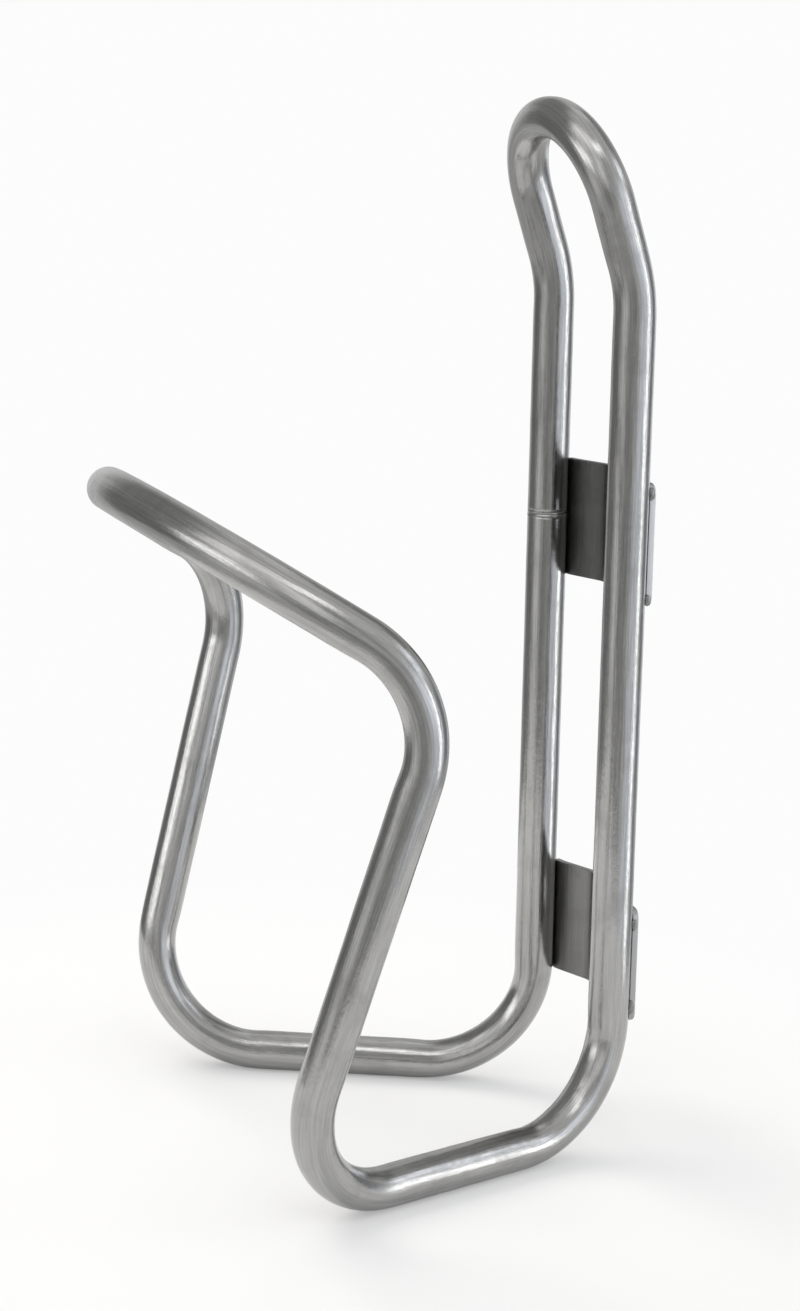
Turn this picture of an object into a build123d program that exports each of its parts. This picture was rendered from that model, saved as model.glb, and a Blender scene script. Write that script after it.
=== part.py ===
from build123d import *
import os

# Bent-tube water bottle cage. The bottle stands in front of the uprights, towards -Y.
# +Z is up. The origin is midway between the two bolt holes, on the tabs' rear faces.
# All lengths are in millimetres.

# Frame tube, one continuous bent length
TUBE_OD = 6.35
TUBE_WALL = 0.45
TUBE_R = TUBE_OD / 2
JOINT_GAP = 0.2

# Mounting tabs
HOLE_PITCH = 64.0
HOLE_D = 5.5
TAB_WIDTH = 28.4
TAB_HEIGHT = 18.6
TAB_THICK = 1.0
TAB_PITCH = 66.6
TAB_DISH = 2.6
TAB_FLAT_HALF = 5.2
TAB_END_FROM = 12.0
TAB_BEND_R = 2.5
TAB_CORNER_R = 1.4
TAB_GAP = 0.03

# Heights above the underside of the base, taken at the square corner below the uprights
ORIGIN_HEIGHT = 62.9
UPPER_BEND_HEIGHT = 134.2
TOP_HEIGHT = 158.3
RING_REAR_HEIGHT = 84.5
RING_FRONT_HEIGHT = 105.5
JOINT_HEIGHT = 97.0
BASE_FRONT_HEIGHT = 8.2

# Half widths of the loop at each bend
UPRIGHT_HALF = 13.2
BASE_FRONT_HALF = 34.1
RING_REAR_HALF = 42.5
RING_FRONT_HALF = 26.6

# Distances forward of the uprights' centre plane
TOP_FORWARD = 8.1
BASE_FRONT_FORWARD = 62.9
RING_REAR_FORWARD = 41.5
RING_FRONT_FORWARD = 73.9

# Centre-line bend radii
TOP_BEND_R = 12.9
UPPER_BEND_R = 26.7
BASE_REAR_BEND_R = 17.1
BASE_FRONT_BEND_R = 18.1
RING_REAR_BEND_R = 16.9
RING_FRONT_BEND_R = 39.2

# Welds
BEAD_WIDTH = 1.8
BEAD_HEIGHT = 0.2
TACK_R = 0.75
TACK_LENGTH = 2.4
UPPER_TACK_OFFSETS = (-8.1, 7.9)
LOWER_TACK_OFFSETS = (-6.8, 6.8)
TACK_OUTSIDE = 0.15
TACK_BEHIND_TUBE = 0.2

# The tabs lie against the back of the uprights, and their dished centres reach back to Y = 0
UPRIGHT_Y = -(TUBE_R + TAB_GAP + TAB_THICK + TAB_DISH)
TAB_FRONT_Y = UPRIGHT_Y + TUBE_R + TAB_GAP
BASE_Z = -ORIGIN_HEIGHT


def at(half_width, forward, height):
    """Point given by its distance right of centre, forward of the uprights and above BASE_Z."""
    return Vector(half_width, UPRIGHT_Y - forward, BASE_Z + height)


def mirrored(point):
    return Vector(-point.X, point.Y, point.Z)


def tube_centre_line():
    """Corner-rounded path from the top of the joint round the whole frame to its underside."""
    right = [
        at(UPRIGHT_HALF, TOP_FORWARD, TOP_HEIGHT),
        at(UPRIGHT_HALF, 0, UPPER_BEND_HEIGHT),
        at(UPRIGHT_HALF, 0, TUBE_R),
        at(BASE_FRONT_HALF, BASE_FRONT_FORWARD, BASE_FRONT_HEIGHT),
        at(RING_REAR_HALF, RING_REAR_FORWARD, RING_REAR_HEIGHT),
        at(RING_FRONT_HALF, RING_FRONT_FORWARD, RING_FRONT_HEIGHT),
    ]
    radii = [
        TOP_BEND_R,
        UPPER_BEND_R,
        BASE_REAR_BEND_R,
        BASE_FRONT_BEND_R,
        RING_REAR_BEND_R,
        RING_FRONT_BEND_R,
    ]
    left = [mirrored(point) for point in reversed(right)]
    upper_left = left[-2:]
    lower_left = left[:-2]
    joint_top = at(-UPRIGHT_HALF, 0, JOINT_HEIGHT + JOINT_GAP / 2)
    joint_bottom = at(-UPRIGHT_HALF, 0, JOINT_HEIGHT - JOINT_GAP / 2)
    points = [joint_top, *upper_left, *right, *lower_left, joint_bottom]
    bends = [UPPER_BEND_R, TOP_BEND_R, *radii, *reversed(radii[2:])]
    return FilletPolyline(*points, radius=bends)


def frame_tube():
    """Hollow tube bent into uprights, top loop, base legs, side legs and front ring."""
    path = tube_centre_line()
    start = Plane(path @ 0, z_dir=path % 0)
    outer = sweep(start * Circle(TUBE_R), path=path)
    bore = sweep(start * Circle(TUBE_R - TUBE_WALL), path=path)
    return outer - bore


def tube_joint_bead(tab):
    """Weld that closes the butt joint in the left upright, flattened where the tab lies on it."""
    bore_r = TUBE_R - TUBE_WALL
    half_width = BEAD_WIDTH / 2
    half_gap = JOINT_GAP / 2
    crown = ThreePointArc((TUBE_R, half_width), (TUBE_R + BEAD_HEIGHT, 0), (TUBE_R, -half_width))
    root = Polyline(
        (TUBE_R, -half_width),
        (TUBE_R, -half_gap),
        (bore_r, -half_gap),
        (bore_r, half_gap),
        (TUBE_R, half_gap),
        (TUBE_R, half_width),
    )
    profile = Plane.XZ * make_face(Curve() + [crown, root])
    bead = revolve(profile, Axis.Z)
    return Pos(*at(-UPRIGHT_HALF, 0, JOINT_HEIGHT)) * bead - tab


def mounting_tab(centre_z, hole_z):
    """Plate across the back of the uprights, pressed rearwards in the middle, with a bolt hole."""
    half = TAB_WIDTH / 2
    section = [
        (-half, 0),
        (-TAB_END_FROM, 0),
        (-TAB_FLAT_HALF, TAB_DISH),
        (TAB_FLAT_HALF, TAB_DISH),
        (TAB_END_FROM, 0),
        (half, 0),
    ]
    front = FilletPolyline(*section, radius=TAB_BEND_R)
    rear = Pos(0, TAB_THICK, 0) * front
    ends = [Line(front @ 0, rear @ 0), Line(front @ 1, rear @ 1)]
    outline = make_face(Curve() + [front, rear, *ends])
    plate = extrude(Pos(0, TAB_FRONT_Y, centre_z) * outline, TAB_HEIGHT / 2, both=True)
    corners = plate.edges().filter_by(Axis.Y).filter_by(lambda edge: abs(edge.center().X) > half - 0.1)
    plate = fillet(corners, TAB_CORNER_R)
    hole = Pos(0, 0, hole_z) * Rot(X=90) * Cylinder(HOLE_D / 2, 20)
    return plate - hole


def weld_tack():
    """Short rounded run of weld, standing upright."""
    straight = TACK_LENGTH - 2 * TACK_R
    tack = Cylinder(TACK_R, straight)
    for end in (-1, 1):
        tack += Pos(0, 0, end * straight / 2) * Sphere(TACK_R)
    return tack


def tab_welds(tab, centre_z, offsets):
    """Four weld tacks where the tab's ends meet the outer sides of the uprights."""
    tacks = []
    for side in (-1, 1):
        upright = Pos(side * UPRIGHT_HALF, UPRIGHT_Y, centre_z) * Cylinder(TUBE_R, 2 * TAB_HEIGHT)
        x = side * (TAB_WIDTH / 2 + TACK_OUTSIDE)
        for offset in offsets:
            placed = Pos(x, TAB_FRONT_Y + TACK_BEHIND_TUBE, centre_z + offset) * weld_tack()
            tacks.append(placed - tab - upright)
    return Compound(children=tacks)


upper_centre = TAB_PITCH / 2
lower_centre = -TAB_PITCH / 2
upper_tab = mounting_tab(upper_centre, HOLE_PITCH / 2)
lower_tab = mounting_tab(lower_centre, -HOLE_PITCH / 2)

parts = {
    "frame_tube": frame_tube(),
    "tube_joint_bead": tube_joint_bead(upper_tab),
    "upper_tab": upper_tab,
    "lower_tab": lower_tab,
    "upper_tab_welds": tab_welds(upper_tab, upper_centre, UPPER_TACK_OFFSETS),
    "lower_tab_welds": tab_welds(lower_tab, lower_centre, LOWER_TACK_OFFSETS),
}

os.makedirs("parts", exist_ok=True)
for name, shape in parts.items():
    export_step(shape, f"parts/{name}.step")
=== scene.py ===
import math

import bmesh
import bpy
import numpy as np
from mathutils import Matrix, Vector


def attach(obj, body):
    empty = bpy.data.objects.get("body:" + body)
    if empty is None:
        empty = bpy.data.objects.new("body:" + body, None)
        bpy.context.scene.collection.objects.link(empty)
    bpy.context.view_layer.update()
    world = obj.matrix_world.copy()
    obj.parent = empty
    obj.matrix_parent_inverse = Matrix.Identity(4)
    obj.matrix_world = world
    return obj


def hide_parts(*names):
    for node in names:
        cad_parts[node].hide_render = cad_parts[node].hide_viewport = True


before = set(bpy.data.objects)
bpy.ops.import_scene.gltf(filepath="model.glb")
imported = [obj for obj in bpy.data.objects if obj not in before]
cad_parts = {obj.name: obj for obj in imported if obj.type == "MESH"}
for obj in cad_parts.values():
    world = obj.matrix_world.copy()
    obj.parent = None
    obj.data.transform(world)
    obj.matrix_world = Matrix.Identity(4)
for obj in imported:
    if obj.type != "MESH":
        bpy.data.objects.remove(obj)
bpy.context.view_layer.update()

# Bent-tube bottle cage. +Z is up, the bottle stands towards -Y, and the origin is midway between
# the bolt holes, on the tabs' rear faces. Shape sizes are in millimetres.
MM = 0.001

# Frame tube, and the half distance between its uprights
TUBE_R = 3.175
UPRIGHT_X = 13.2

# Mounting tabs and their bolt holes
TAB_HALF = 14.2
TAB_HEIGHT = 18.6
TAB_THICK = 1.0
TAB_DISH = 2.6
TAB_FLAT_HALF = 5.2
TAB_END_FROM = 12.0
TAB_CORNER_R = 1.4
TAB_GAP = 0.03
TAB_CENTRE = 33.3
HOLE_R = 2.75
HOLE_Z = 32.0

# Heights above the base, and the places that follow from the sizes
ORIGIN_HEIGHT = 62.9
JOINT_HEIGHT = 97.0
BASE_Z = -ORIGIN_HEIGHT
JOINT_Z = JOINT_HEIGHT - ORIGIN_HEIGHT
TAB_FRONT_Y = -(TAB_THICK + TAB_DISH)
UPRIGHT_Y = TAB_FRONT_Y - TAB_GAP - TUBE_R

# Right-hand bends of the frame tube: half width, distance forward, height above the base, radius
TOP = (UPRIGHT_X, 8.1, 158.3, 12.9)
UPPER = (UPRIGHT_X, 0.0, 134.2, 26.7)
BASE_REAR = (UPRIGHT_X, 0.0, TUBE_R, 17.1)
BASE_FRONT = (34.1, 62.9, 8.2, 18.1)
RING_REAR = (42.5, 41.5, 84.5, 16.9)
RING_FRONT = (26.6, 73.9, 105.5, 39.2)

# Slope of the base legs, which rise towards the front
BASE_RISE = (BASE_FRONT[2] - BASE_REAR[2]) / BASE_FRONT[1]


# ---------------------------------------------------------------- tube centre line

JOINT_HALF_GAP = 0.1
BEND_STEP = 0.55
STRAIGHT_STEP = 0.9


def corner(bend, side):
    half, forward, height, radius = bend
    return np.array([side * half, UPRIGHT_Y - forward, BASE_Z + height]), radius


def loop_corners():
    """Corner points and radii round the loop, from the joint in the left upright and back."""
    right = [corner(b, 1) for b in (TOP, UPPER, BASE_REAR, BASE_FRONT, RING_REAR, RING_FRONT)]
    left = [corner(b, -1) for b in (RING_FRONT, RING_REAR, BASE_FRONT, BASE_REAR)]
    start = [corner(UPPER, -1), corner(TOP, -1)]
    return start + right + left


def sample_loop():
    """Points, tangents, curvature and inward direction along the tube."""
    corners = loop_corners()
    joint = np.array([-UPRIGHT_X, UPRIGHT_Y, JOINT_Z])
    at = joint + np.array([0, 0, JOINT_HALF_GAP])
    finish = joint - np.array([0, 0, JOINT_HALF_GAP])
    pts, tans, curv, inward = [], [], [], []

    def line(a, b, keep_end):
        n = max(2, int(round(np.linalg.norm(b - a) / STRAIGHT_STEP)))
        way = (b - a) / np.linalg.norm(b - a)
        for i in range(n + (1 if keep_end else 0)):
            pts.append(a + (b - a) * i / n)
            tans.append(way)
            curv.append(0.0)
            inward.append(np.zeros(3))

    for i, (p, radius) in enumerate(corners):
        before = corners[i - 1][0] if i else at
        after = corners[i + 1][0] if i + 1 < len(corners) else finish
        a = (before - p) / np.linalg.norm(before - p)
        b = (after - p) / np.linalg.norm(after - p)
        turn = math.pi - math.acos(np.clip(a @ b, -1, 1))
        reach = radius * math.tan(turn / 2)
        first, last = p + a * reach, p + b * reach
        line(at, first, False)
        mid = (a + b) / np.linalg.norm(a + b)
        centre = p + mid * radius / math.cos(turn / 2)
        u = (first - centre) / radius
        w = -a
        n = max(8, int(round(radius * turn / BEND_STEP)))
        for k in range(n):
            t = turn * k / n
            out = u * math.cos(t) + w * math.sin(t)
            pts.append(centre + out * radius)
            tans.append(w * math.cos(t) - u * math.sin(t))
            curv.append(1.0 / radius)
            inward.append(-out)
        at = last
    line(at, finish, True)
    return np.array(pts), np.array(tans), np.array(curv), np.array(inward)


def carry_frames(pts, tans):
    """Twist-free cross-section axes along the path, by double reflection."""
    n = len(pts)
    side = np.zeros((n, 3))
    side[0] = np.array([1.0, 0, 0]) - tans[0] * tans[0][0]
    side[0] /= np.linalg.norm(side[0])
    for i in range(n - 1):
        v1 = pts[i + 1] - pts[i]
        c1 = v1 @ v1
        r = side[i] - 2 / c1 * (v1 @ side[i]) * v1
        t = tans[i] - 2 / c1 * (v1 @ tans[i]) * v1
        v2 = tans[i + 1] - t
        c2 = v2 @ v2
        side[i + 1] = r - (2 / c2 * (v2 @ r) * v2 if c2 > 1e-12 else 0)
        side[i + 1] -= tans[i + 1] * (tans[i + 1] @ side[i + 1])
        side[i + 1] /= np.linalg.norm(side[i + 1])
    return side, np.cross(tans, side)


def smooth_along(vectors, run, width):
    """Gaussian average of vectors along the tube, evaluated on the uneven sample spacing."""
    step = np.gradient(run)
    out = np.empty_like(vectors)
    for i, s in enumerate(run):
        near = np.abs(run - s) < 3 * width
        k = np.exp(-0.5 * ((run[near] - s) / width) ** 2) * step[near]
        out[i] = (vectors[near] * k[:, None]).sum(0) / k.sum()
    return out


# ---------------------------------------------------------------- mesh helpers

def add_piece(name, node, verts, faces, skin=None):
    """Mesh in the place of a CAD node. The steel's grain follows skin, or the points themselves."""
    mesh = bpy.data.meshes.new(name)
    mesh.from_pydata([tuple(v) for v in np.asarray(verts) * MM], [], faces)
    mesh.validate()
    mesh.update()
    bm = bmesh.new()
    bm.from_mesh(mesh)
    bmesh.ops.recalc_face_normals(bm, faces=bm.faces)
    bm.to_mesh(mesh)
    bm.free()
    for poly in mesh.polygons:
        poly.use_smooth = True
    layer = mesh.attributes.new("skin", "FLOAT_VECTOR", "POINT")
    layer.data.foreach_set("vector", np.asarray(verts if skin is None else skin, np.float32).ravel())
    piece = bpy.data.objects.new(name, mesh)
    bpy.context.scene.collection.objects.link(piece)
    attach(piece, "root")
    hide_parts(node)
    return piece


def grid_faces(rows, cols, close_rows=False):
    """Quads between neighbouring closed rings of points."""
    faces = []
    for i in range(rows if close_rows else rows - 1):
        for j in range(cols):
            a, b = i * cols, ((i + 1) % rows) * cols
            faces.append((a + j, a + (j + 1) % cols, b + (j + 1) % cols, b + j))
    return faces


# ---------------------------------------------------------------- bent tube

# Marks of bending. A bend of PRESS_FULL_R has them in full, and a tighter one up to PRESS_MAX times
# that. They fade over PRESS_FADE at the bend's ends, and the lip beside the pressed inside over
# LIP_FADE.
PRESS_FULL_R = 18.0
PRESS_MAX = 1.15
PRESS_FADE = 2.2
LIP_FADE = 3.8
INNER_PRESS = 0.17
OUTER_PRESS = 0.08
SIDE_BULGE = 0.05
LIP_HEIGHT = 0.12

# Slow unevenness of the tube: height, radians per millimetre along it, and cycles round it
WAVES = ((0.006, 0.31, 2), (0.0048, 0.83, -1))

# Keeps the uneven surface inside the CAD tube
SKIN_INSET = 0.012

# Rings that close each tube end: how far inside the tube's radius, and how far past its end.
# END_SKIN_R is the radius at which their grain is drawn.
END_RINGS = ((0.16, 0.08), (0.45, 0.09))
END_SKIN_R = 2.9


def skin_radius(ring, pressed, spread, run, theta):
    """Radius of the tube's surface round one section, with the marks of bending."""
    squeeze = ring @ pressed
    inner = np.clip(squeeze, 0, None)
    outer = np.clip(-squeeze, 0, None)
    bulge = np.linalg.norm(pressed) - np.abs(squeeze)
    lip = np.clip(ring @ spread, 0, None) - inner
    wave = sum(height * np.sin(run * rate + turns * theta) for height, rate, turns in WAVES)
    marks = SIDE_BULGE * bulge + LIP_HEIGHT * lip - INNER_PRESS * inner ** 2 - OUTER_PRESS * outer ** 2
    return TUBE_R + marks + wave - SKIN_INSET


def build_tube():
    around = 72
    pts, tans, curv, inward = sample_loop()
    side, up = carry_frames(pts, tans)
    run = np.concatenate([[0], np.cumsum(np.linalg.norm(np.diff(pts, axis=0), axis=1))])
    tight = np.clip(curv * PRESS_FULL_R, 0, PRESS_MAX)
    pressed = smooth_along(tight[:, None] * inward, run, PRESS_FADE)
    spread = smooth_along(tight[:, None] * inward, run, LIP_FADE)
    theta = np.linspace(0, 2 * math.pi, around, endpoint=False)

    def unit_ring(i):
        return np.cos(theta)[:, None] * side[i] + np.sin(theta)[:, None] * up[i]

    def skin_ring(i, radius):
        return np.stack([np.cos(theta) * radius, np.sin(theta) * radius, np.full(around, run[i])], 1)

    def end_cap(i, way):
        """Closing rings of one end, in order from the tube outwards."""
        rings = []
        for shrink, push in END_RINGS:
            points = pts[i] + tans[i] * way * push + unit_ring(i) * (TUBE_R - shrink)
            rings.append((points, skin_ring(i, END_SKIN_R)))
        return rings

    body = []
    for i in range(len(pts)):
        ring = unit_ring(i)
        radius = skin_radius(ring, pressed[i], spread[i], run[i], theta)
        body.append((pts[i] + ring * radius[:, None], skin_ring(i, TUBE_R)))
    rings = end_cap(0, -1)[::-1] + body + end_cap(len(pts) - 1, 1)
    verts = np.concatenate([points for points, _ in rings])
    skin = np.concatenate([tags for _, tags in rings])
    faces = grid_faces(len(rings), around)
    faces.append(tuple(range(around)))
    faces.append(tuple(reversed(range(len(verts) - around, len(verts)))))
    return add_piece("bent_tube", "frame_tube", verts, faces, skin)


# ---------------------------------------------------------------- mounting tabs

# Softening of the dish's folds, rounding of the cut edges, and the hole's rolled-in punched edge
SLOPE_EASE = 0.4
EDGE_R = 0.09
EDGE_STEPS = 4
PUNCH_ROLL = 0.072
PUNCH_REACH = 0.8


def dish_depth(x):
    """How far the plate stands behind its ends at x: a flat, a straight slope and a flat end."""
    sigmas = np.linspace(-3, 3, 31)
    weight = np.exp(-0.5 * sigmas ** 2)
    near = np.abs(x[..., None] + SLOPE_EASE * sigmas)
    t = np.clip((TAB_END_FROM - near) / (TAB_END_FROM - TAB_FLAT_HALF), 0, 1)
    return TAB_DISH * (t * weight).sum(-1) / weight.sum()


def tab_outline(angles, centre, hole_z):
    """Points of the tab's rounded rectangle on rays from the hole's centre, found by halving."""
    beyond_tab, halvings = 60.0, 40
    points = []
    for t in angles:
        ray = np.array([math.cos(t), math.sin(t)])
        inside, outside = 0.0, beyond_tab
        for _ in range(halvings):
            reach = (inside + outside) / 2
            x, z = ray * reach
            qx = abs(x) - (TAB_HALF - TAB_CORNER_R)
            qz = abs(z + hole_z - centre) - (TAB_HEIGHT / 2 - TAB_CORNER_R)
            gap = math.hypot(max(qx, 0), max(qz, 0)) + min(max(qx, qz), 0) - TAB_CORNER_R
            inside, outside = (reach, outside) if gap < 0 else (inside, reach)
        points.append(ray * inside)
    return np.array(points)


def build_tab(name, node, centre, hole_z):
    """Pressed plate with a punched hole and softly broken edges, made of rings round the hole."""
    around, steps = 176, 30
    angles = np.linspace(0, 2 * math.pi, around, endpoint=False)
    rim = tab_outline(angles, centre, hole_z)
    rim_len = np.linalg.norm(rim, axis=1)
    unit = rim / rim_len[:, None]

    # Each ring has its place from the hole (0) to the rim (1), a shift outwards and a depth
    hole_edge = []
    rim_edge = []
    for k in range(EDGE_STEPS + 1):
        a = math.pi / 2 * k / EDGE_STEPS
        hole_edge.append((0, EDGE_R * (1 - math.cos(a)), EDGE_R * (1 - math.sin(a))))
        rim_edge.append((1, -EDGE_R * (1 - math.sin(a)), EDGE_R * (1 - math.cos(a))))
    span = [(k / steps, 0, 0) for k in range(1, steps)]
    front = hole_edge + span + rim_edge
    rear = [(place, shift, TAB_THICK - depth) for place, shift, depth in reversed(front)]

    verts = []
    for place, shift, depth in front + rear:
        if place == 0:
            radius = HOLE_R + shift
        elif place == 1:
            radius = rim_len + shift
        else:
            radius = HOLE_R + EDGE_R + (rim_len - HOLE_R - 2 * EDGE_R) * place
        x = unit[:, 0] * radius
        z = unit[:, 1] * radius + hole_z
        roll = PUNCH_ROLL * np.exp(-((np.hypot(x, z - hole_z) - HOLE_R) / PUNCH_REACH) ** 2)
        y = TAB_FRONT_Y + dish_depth(x) + depth + roll * (1 - depth / TAB_THICK)
        verts.append(np.stack([x, y, z], 1))
    faces = grid_faces(len(verts), around, close_rows=True)
    return add_piece(name, node, np.concatenate(verts), faces)


# ---------------------------------------------------------------- welds

# Tacks: place outside the tab's end and behind its front face, half sizes, and spread of placing
UPPER_TACK_OFFSETS = (-8.1, 7.9)
LOWER_TACK_OFFSETS = (-6.8, 6.8)
TACK_OUTSIDE = 0.05
TACK_BEHIND = 0.18
TACK_HALF_WIDTH = 0.48
TACK_HALF_DEPTH = 0.55
TACK_HALF_LENGTH = (0.8, 1.1)
TACK_WANDER = 0.3

# Section of the joint bead: height from the joint, and rise above the tube's radius
BEAD_PROFILE = (
    (-0.85, -0.25), (-0.7, -0.07), (-0.58, -0.02), (-0.44, 0.05), (-0.26, 0.02), (0, -0.09),
    (0.26, 0.02), (0.44, 0.05), (0.58, -0.02), (0.7, -0.07), (0.85, -0.25),
)

# How far its ridges are sunk, the most that they rise where the tab lies on them, and the size of
# its root inside the joint
BEAD_SINK = 0.02
BEAD_RISE_AT_TAB = 0.02
BEAD_ROOT_DEPTH = 0.5
BEAD_ROOT_HALF = 0.7


def blob(centre, size, lumps, rows=20, cols=28):
    """Closed lumpy ellipsoid."""
    verts = [centre + np.array([0, 0, -size[2]])]
    for i in range(1, rows):
        lat = math.pi * (i / rows - 0.5)
        for j in range(cols):
            lon = 2 * math.pi * j / cols
            d = np.array([math.cos(lat) * math.cos(lon), math.cos(lat) * math.sin(lon), math.sin(lat)])
            swell = 1 + sum(a * math.sin(f * (d @ w) + p) for a, f, w, p in lumps)
            verts.append(centre + d * size * swell)
    verts.append(centre + np.array([0, 0, size[2]]))
    faces = [(0, 1 + (j + 1) % cols, 1 + j) for j in range(cols)]
    for i in range(rows - 2):
        for j in range(cols):
            a, b = 1 + i * cols, 1 + (i + 1) * cols
            faces.append((a + j, a + (j + 1) % cols, b + (j + 1) % cols, b + j))
    top, last = len(verts) - 1, 1 + (rows - 2) * cols
    faces += [(last + j, last + (j + 1) % cols, top) for j in range(cols)]
    return verts, faces


def random_lumps(rng, count=4):
    """Shallow waves over a blob: height, rate, direction and phase of each."""
    lumps = []
    for _ in range(count):
        way = rng.normal(size=3)
        height = rng.uniform(0.02, 0.07)
        rate = rng.uniform(2, 5)
        phase = rng.uniform(0, 6)
        lumps.append((height, rate, way / np.linalg.norm(way), phase))
    return lumps


def build_tacks(name, node, tab_centre, offsets, seed):
    rng = np.random.default_rng(seed)
    verts, faces = [], []
    for side in (-1, 1):
        for offset in offsets:
            lumps = random_lumps(rng)
            size = np.array([TACK_HALF_WIDTH, TACK_HALF_DEPTH, rng.uniform(*TACK_HALF_LENGTH)])
            x = side * (TAB_HALF + TACK_OUTSIDE)
            z = tab_centre + offset + rng.uniform(-TACK_WANDER, TACK_WANDER)
            tack_verts, tack_faces = blob(np.array([x, TAB_FRONT_Y + TACK_BEHIND, z]), size, lumps)
            base = len(verts)
            verts += tack_verts
            faces += [tuple(i + base for i in face) for face in tack_faces]
    return add_piece(name, node, verts, faces)


def build_joint_bead():
    """Weld round the butt joint: two uneven ridges on one side that sink into the tube elsewhere."""
    around = 120
    centre = np.array([-UPRIGHT_X, UPRIGHT_Y, JOINT_Z])
    theta = np.linspace(0, 2 * math.pi, around, endpoint=False)
    wander = 0.06 * np.sin(theta * 2 + 1.1) + 0.03 * np.sin(theta * 5)
    rings = []
    for z, lift in BEAD_PROFILE:
        proud = 0.5 + 0.5 * np.sin(theta + 2.5 - 0.6 * z)
        uneven = 1.6 * proud ** 3 - 0.2 + 0.15 * np.sin(theta * 5 + 2 * z)
        r = TUBE_R + (lift * uneven - BEAD_SINK if lift > 0 else lift)
        beside_tab = np.sin(theta) > 0.97
        r = np.where(beside_tab, np.minimum(r, TUBE_R + BEAD_RISE_AT_TAB), r)
        rings.append(centre + np.stack([np.cos(theta) * r, np.sin(theta) * r, z + wander], 1))
    root_r = TUBE_R - BEAD_ROOT_DEPTH
    for z in (BEAD_ROOT_HALF, -BEAD_ROOT_HALF):
        root = np.stack([np.cos(theta) * root_r, np.sin(theta) * root_r, np.full(around, z)], 1)
        rings.append(centre + root)
    faces = grid_faces(len(rings), around, close_rows=True)
    return add_piece("joint_bead", "tube_joint_bead", np.concatenate(rings), faces)


# ---------------------------------------------------------------- materials

class Nodes:
    """Small helper that adds and links shader nodes."""

    def __init__(self, tree):
        self.tree = tree
        tree.nodes.clear()

    def add(self, kind, props=None, **inputs):
        node = self.tree.nodes.new(kind)
        for key, value in (props or {}).items():
            setattr(node, key, value)
        for key, value in inputs.items():
            name = key.replace("_", " ").lower()
            socket = next(s for s in node.inputs if s.name.lower() == name and s.enabled)
            self.put(socket, value)
        return node

    def put(self, socket, value):
        """Link the socket where the value is another node's output, and set it otherwise."""
        if isinstance(value, bpy.types.NodeSocket):
            self.tree.links.new(value, socket)
        else:
            socket.default_value = value

    def math(self, op, *values):
        node = self.add("ShaderNodeMath", {"operation": op})
        for socket, value in zip(node.inputs, values):
            self.put(socket, value)
        return node.outputs[0]

    def noise(self, vector, scale, detail, rough, distortion=0.0):
        node = self.add("ShaderNodeTexNoise", {"noise_dimensions": "3D"}, Vector=vector, Scale=scale,
                        Detail=detail, Roughness=rough, Distortion=distortion)
        return node.outputs[0]

    def drawn_out(self, vector, factor):
        """Coordinates that lengthen a pattern along the third axis."""
        node = self.add("ShaderNodeMapping", {"vector_type": "POINT"}, Vector=vector,
                        Scale=(1.0, 1.0, factor))
        return node.outputs[0]

    def span(self, value, low, high, to_low=0.0, to_high=1.0):
        node = self.add("ShaderNodeMapRange", {"clamp": True}, Value=value, From_Min=low, From_Max=high,
                        To_Min=to_low, To_Max=to_high)
        return node.outputs[0]

    def mix(self, factor, a, b):
        node = self.add("ShaderNodeMix", {"data_type": "RGBA"})
        for index, value in ((0, factor), (6, a), (7, b)):
            self.put(node.inputs[index], value)
        return node.outputs[2]

    def blend(self, factor, a, b):
        """Mix of two shaders."""
        node = self.add("ShaderNodeMixShader")
        for socket, value in zip(node.inputs, (factor, a.outputs[0], b.outputs[0])):
            self.put(socket, value)
        return node

    def bump(self, height, strength, distance, normal=None):
        node = self.add("ShaderNodeBump", None, Height=height, Strength=strength, Distance=distance)
        if normal is not None:
            self.put(node.inputs["Normal"], normal)
        return node.outputs[0]

    def finish(self, shader, kind="ShaderNodeOutputMaterial"):
        self.put(self.add(kind).inputs[0], shader.outputs[0])


NEUTRAL = (1.0, 1.0, 1.0)
COOL = (0.95, 0.99, 1.06)
STEEL_TINT = (1.0, 0.993, 0.975)
STAIN_TINT = (1.0, 0.985, 0.96)

# How long each pattern is drawn along the work, as a factor on its scale in that direction
LINE_STRETCH = 0.035
BROAD_STRETCH = 0.12
SPECKLE_STRETCH = 0.45


def grey(value, tint=NEUTRAL):
    return (value * tint[0], value * tint[1], value * tint[2], 1.0)


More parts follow.
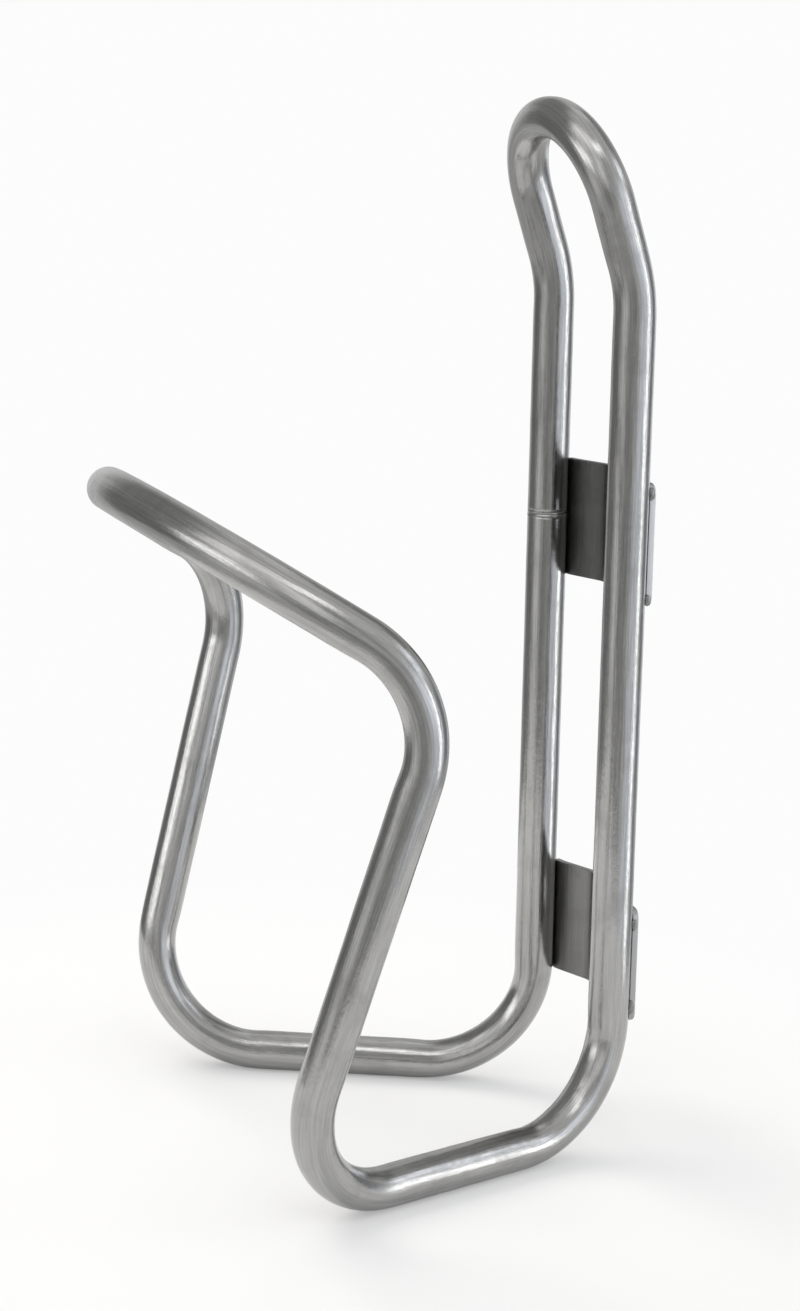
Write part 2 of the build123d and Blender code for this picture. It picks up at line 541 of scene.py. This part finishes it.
def steel(name, tone, rough, streak, grain, stain, end_highlight=None):
    """Satin steel: streaks along the work, fine tumbled grain, faint stains and varied roughness.

    end_highlight gives the distance from the middle beyond which the sheet's ends get a painted
    highlight, and that highlight's tone.
    """
    material = bpy.data.materials.new(name)
    material.use_nodes = True
    n = Nodes(material.node_tree)
    skin = n.add("ShaderNodeAttribute", {"attribute_name": "skin"}).outputs["Vector"]
    lines = n.noise(n.drawn_out(skin, LINE_STRETCH), scale=3.2, detail=6.0, rough=0.62)
    broad = n.noise(n.drawn_out(skin, BROAD_STRETCH), scale=0.55, detail=3.0, rough=0.55)
    speckle = n.noise(n.drawn_out(skin, SPECKLE_STRETCH), scale=2.6, detail=3.0, rough=0.65)
    cloud = n.noise(skin, scale=0.16, detail=4.0, rough=0.6, distortion=0.4)
    cells = n.add("ShaderNodeTexVoronoi", {"feature": "F1"}, Vector=skin, Scale=1.15)
    pit = n.span(cells.outputs["Distance"], 0.03, 0.16, 1.0, 0.0)

    dark = grey(tone * (1 - streak), STEEL_TINT)
    pale = grey(tone * (1 + streak * 0.6), STEEL_TINT)
    base = n.mix(n.span(lines, 0.35, 0.68), dark, pale)
    base = n.mix(n.span(cloud, 0.5, 0.72, 0.0, stain), base, grey(tone * 0.62, STAIN_TINT))
    base = n.mix(n.math("MULTIPLY", pit, 0.22), base, grey(tone * 0.5))
    # Painted highlight: the sheet's ends take a lighter tone that stands in for the light their cut
    # faces catch.
    if end_highlight is not None:
        highlight_from, highlight_tone = end_highlight
        across = n.add("ShaderNodeSeparateXYZ", None, Vector=skin).outputs["X"]
        painted_highlight = n.span(n.math("ABSOLUTE", across), highlight_from - 0.3, highlight_from + 0.3)
        base = n.mix(painted_highlight, base, grey(highlight_tone))

    roughness = n.span(lines, 0.3, 0.7, rough * 0.86, rough * 1.16)
    roughness = n.math("ADD", roughness, n.span(speckle, 0.35, 0.7, -0.03, 0.05))
    roughness = n.math("ADD", roughness, n.span(cloud, 0.4, 0.7, -0.02, 0.05))

    normal = n.bump(broad, 0.35, 0.12 * MM)
    normal = n.bump(lines, 0.8 * grain, 0.022 * MM, normal)
    normal = n.bump(speckle, 0.6 * grain, 0.02 * MM, normal)
    normal = n.bump(pit, -0.3, 0.02 * MM, normal)
    n.finish(n.add("ShaderNodeBsdfPrincipled", None, Base_Color=base, Metallic=1.0,
                   Roughness=roughness, Normal=normal))
    return material


def paint(piece, material):
    piece.data.materials.clear()
    piece.data.materials.append(material)


# ---------------------------------------------------------------- studio, in metres and degrees

CAMERA_AT = Vector((0.3337, -0.1811, 0.1023))
CAMERA_AZIMUTH = 66.72
CAMERA_ELEVATION = 13.37
CAMERA_ROLL = 0.98
CAMERA_LENS = 68.0

# Brightness of the white paper behind the cage, and of the plain room low down and overhead
BACKDROP = 0.973
ROOM_LOW = 0.60
ROOM_HIGH = 0.78

# Paper floor: from FADE_FROM to FADE_TO from its middle, what the camera sees turns from lit paper
# into even white, of which NEAR_WHITE is mixed in throughout
FLOOR_ALBEDO = 0.9
FLOOR_RADIUS = 0.14
FLOOR_CENTRE_Y = -0.04
FLOOR_CORNERS = 96
FADE_FROM = 0.065
FADE_TO = 0.125
NEAR_WHITE = 0.3

# Soft panels round the cage: azimuth, elevation, half width, half height, soft edge, brightness, tint
PANELS = {
    "high_window": (28, 56, 36, 14, 8, 1.5, NEUTRAL),
    "mid_window": (18, 31, 12, 8, 6, 1.1, NEUTRAL),
    "low_window": (6, 12, 18, 7, 6, 2.5, NEUTRAL),
    "left_fill": (8, -10, 12, 6, 6, 0.95, NEUTRAL),
    "camera_side": (54, -8, 22, 11, 9, 0.36, NEUTRAL),
    "front_wash": (55, 24, 12, 16, 10, 1.25, NEUTRAL),
    "ring_strip": (84, 56, 18, 6, 5, 2.9, NEUTRAL),
    "right_gap": (80, 30, 6, 16, 5, 0.42, NEUTRAL),
    "right_wash": (132, -10, 36, 20, 10, 1.0, COOL),
    "right_strip": (132, 10, 24, 14, 6, 1.45, COOL),
    "right_edge": (148, -4, 4, 20, 3, 4.4, NEUTRAL),
    "rear_dark": (184, -4, 14, 16, 6, 0.32, COOL),
    "rear_strip": (212, -6, 8, 12, 6, 1.3, COOL),
    "rear_shade": (202, 38, 26, 11, 6, 0.32, NEUTRAL),
    "rear_high": (222, 56, 14, 5, 5, 1.2, NEUTRAL),
    "rear_window": (157, 31, 12, 7, 5, 2.2, COOL),
    "left_window": (268, 5, 14, 14, 8, 0.8, NEUTRAL),
    "left_dark": (316, 4, 26, 22, 5, 0.26, NEUTRAL),
    "upper_dark": (300, 46, 52, 24, 10, 0.32, NEUTRAL),
}


def direction(azimuth, elevation):
    """Unit vector from the cage: azimuth 0 is its front, 90 its right side."""
    a, e = math.radians(azimuth), math.radians(elevation)
    return Vector((math.sin(a) * math.cos(e), -math.cos(a) * math.cos(e), math.sin(e)))


def add_camera():
    data = bpy.data.cameras.new("camera")
    data.lens = CAMERA_LENS
    data.sensor_width = 36.0
    data.clip_start = 0.01
    cam = bpy.data.objects.new("camera", data)
    bpy.context.scene.collection.objects.link(cam)
    back = direction(CAMERA_AZIMUTH, CAMERA_ELEVATION)
    right = Vector((0, 0, 1)).cross(back).normalized()
    up = back.cross(right)
    roll = math.radians(CAMERA_ROLL)
    x = right * math.cos(roll) + up * math.sin(roll)
    y = up * math.cos(roll) - right * math.sin(roll)
    turn = Matrix((x, y, back)).transposed()
    cam.matrix_world = Matrix.Translation(CAMERA_AT) @ turn.to_4x4()
    bpy.context.scene.camera = cam


def add_floor_key():
    """Warm rectangular light high at the cage's front left, which throws its shadow on the floor."""
    width, height, radiance = 0.9, 0.9, 3.2
    data = bpy.data.lights.new("floor_key", "AREA")
    data.shape = "RECTANGLE"
    data.size = width
    data.size_y = height
    data.energy = radiance * math.pi * width * height
    data.color = (1.0, 0.97, 0.92)
    light = bpy.data.objects.new("floor_key", data)
    bpy.context.scene.collection.objects.link(light)
    cage_middle = Vector((0, -0.04, 0.01))
    back = direction(300, 52)
    light.location = cage_middle + back * 1.2
    light.rotation_mode = "QUATERNION"
    light.rotation_quaternion = back.to_track_quat("Z", "Y")
    light.visible_glossy = False


def add_floor():
    """Disc of pale paper that the base legs lie on, turning into an even white away from the cage."""
    drop = TUBE_R * math.sqrt(1 + BASE_RISE ** 2)
    rear_y, rear_z = UPRIGHT_Y * MM, (BASE_Z + TUBE_R - drop) * MM
    verts = []
    for k in range(FLOOR_CORNERS):
        t = 2 * math.pi * k / FLOOR_CORNERS
        x = FLOOR_RADIUS * math.cos(t)
        y = FLOOR_RADIUS * math.sin(t) + FLOOR_CENTRE_Y
        verts.append((x, y, rear_z + (rear_y - y) * BASE_RISE))
    mesh = bpy.data.meshes.new("floor")
    mesh.from_pydata(verts, [], [tuple(range(FLOOR_CORNERS))])
    floor = bpy.data.objects.new("floor", mesh)
    bpy.context.scene.collection.objects.link(floor)
    material = bpy.data.materials.new("floor_paper")
    material.use_nodes = True
    n = Nodes(material.node_tree)
    seen = n.add("ShaderNodeLightPath").outputs["Is Camera Ray"]
    place = n.add("ShaderNodeNewGeometry").outputs["Position"]
    away = n.add("ShaderNodeVectorMath", {"operation": "DISTANCE"})
    n.put(away.inputs[0], place)
    n.put(away.inputs[1], (0.0, FLOOR_CENTRE_Y, rear_z))
    white_share = n.span(away.outputs["Value"], FADE_FROM, FADE_TO, NEAR_WHITE, 1.0)
    paper = n.add("ShaderNodeBsdfDiffuse", None, Color=grey(FLOOR_ALBEDO))
    white = n.add("ShaderNodeEmission", None, Color=grey(BACKDROP), Strength=1.0)
    n.finish(n.blend(n.math("MULTIPLY", white_share, seen), paper, white))
    floor.data.materials.append(material)


def panel_mask(n, angle, centre, half, soft):
    """1 inside the panel's span of one angle, falling to 0 over its soft edge."""
    off = n.math("SUBTRACT", angle, math.radians(centre))
    off = n.math("ABSOLUTE", n.math("WRAP", off, math.pi, -math.pi))
    node = n.add("ShaderNodeMapRange", {"interpolation_type": "SMOOTHSTEP"}, Value=off,
                 From_Min=math.radians(half + soft), From_Max=math.radians(max(half - soft, 0)))
    return node.outputs[0]


def light_world():
    """White paper to the camera; a soft room with pale and dark panels to the metal and the floor."""
    world = bpy.data.worlds.new("studio")
    bpy.context.scene.world = world
    world.use_nodes = True
    n = Nodes(world.node_tree)
    path = n.add("ShaderNodeLightPath")
    way = n.add("ShaderNodeTexCoord").outputs["Generated"]
    axes = n.add("ShaderNodeSeparateXYZ", None, Vector=way)
    azimuth = n.math("ARCTAN2", axes.outputs["X"], n.math("MULTIPLY", axes.outputs["Y"], -1.0))
    elevation = n.math("ARCSINE", axes.outputs["Z"])
    room = n.mix(n.span(axes.outputs["Z"], 0.0, 0.9), grey(ROOM_LOW), grey(ROOM_HIGH))
    for az, el, half_width, half_height, soft, bright, tint in PANELS.values():
        across = panel_mask(n, azimuth, az, half_width, soft)
        upward = panel_mask(n, elevation, el, half_height, soft)
        room = n.mix(n.math("MULTIPLY", across, upward), room, grey(bright, tint))
    colour = n.mix(path.outputs["Is Camera Ray"], room, grey(BACKDROP))
    n.finish(n.add("ShaderNodeBackground", None, Color=colour, Strength=1.0), "ShaderNodeOutputWorld")


# ---------------------------------------------------------------- the scene

tube = build_tube()
upper_tab = build_tab("upper_tab_plate", "upper_tab", TAB_CENTRE, HOLE_Z)
lower_tab = build_tab("lower_tab_plate", "lower_tab", -TAB_CENTRE, -HOLE_Z)
upper_tacks = build_tacks("upper_tab_tacks", "upper_tab_welds", TAB_CENTRE, UPPER_TACK_OFFSETS, seed=3)
lower_tacks = build_tacks("lower_tab_tacks", "lower_tab_welds", -TAB_CENTRE, LOWER_TACK_OFFSETS, seed=5)
bead = build_joint_bead()

# Distance from the middle at which the painted highlight on the tabs' cut ends begins
END_HIGHLIGHT_FROM = 13.4

tube_steel = steel("tube_steel", tone=0.42, rough=0.17, streak=0.17, grain=1.5, stain=0.45)
# The two tabs are one steel: the upper tab's darker tone is painted shade, and the lighter tones at
# their ends are a painted highlight.
upper_tab_shaded_steel = steel("upper_tab_shaded_steel", tone=0.17, rough=0.38, streak=0.12, grain=0.8, stain=0.35,
                        end_highlight=(END_HIGHLIGHT_FROM, 0.50))
lower_tab_steel = steel("lower_tab_steel", tone=0.30, rough=0.36, streak=0.12, grain=0.8, stain=0.35,
                        end_highlight=(END_HIGHLIGHT_FROM, 0.38))
weld_steel = steel("weld_steel", tone=0.28, rough=0.32, streak=0.14, grain=0.8, stain=0.5)
paint(tube, tube_steel)
paint(upper_tab, upper_tab_shaded_steel)
paint(lower_tab, lower_tab_steel)
for weld in (upper_tacks, lower_tacks, bead):
    paint(weld, weld_steel)
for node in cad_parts.values():
    paint(node, tube_steel)

add_camera()
add_floor()
light_world()
add_floor_key()

bpy.context.scene.view_settings.view_transform = "Standard"
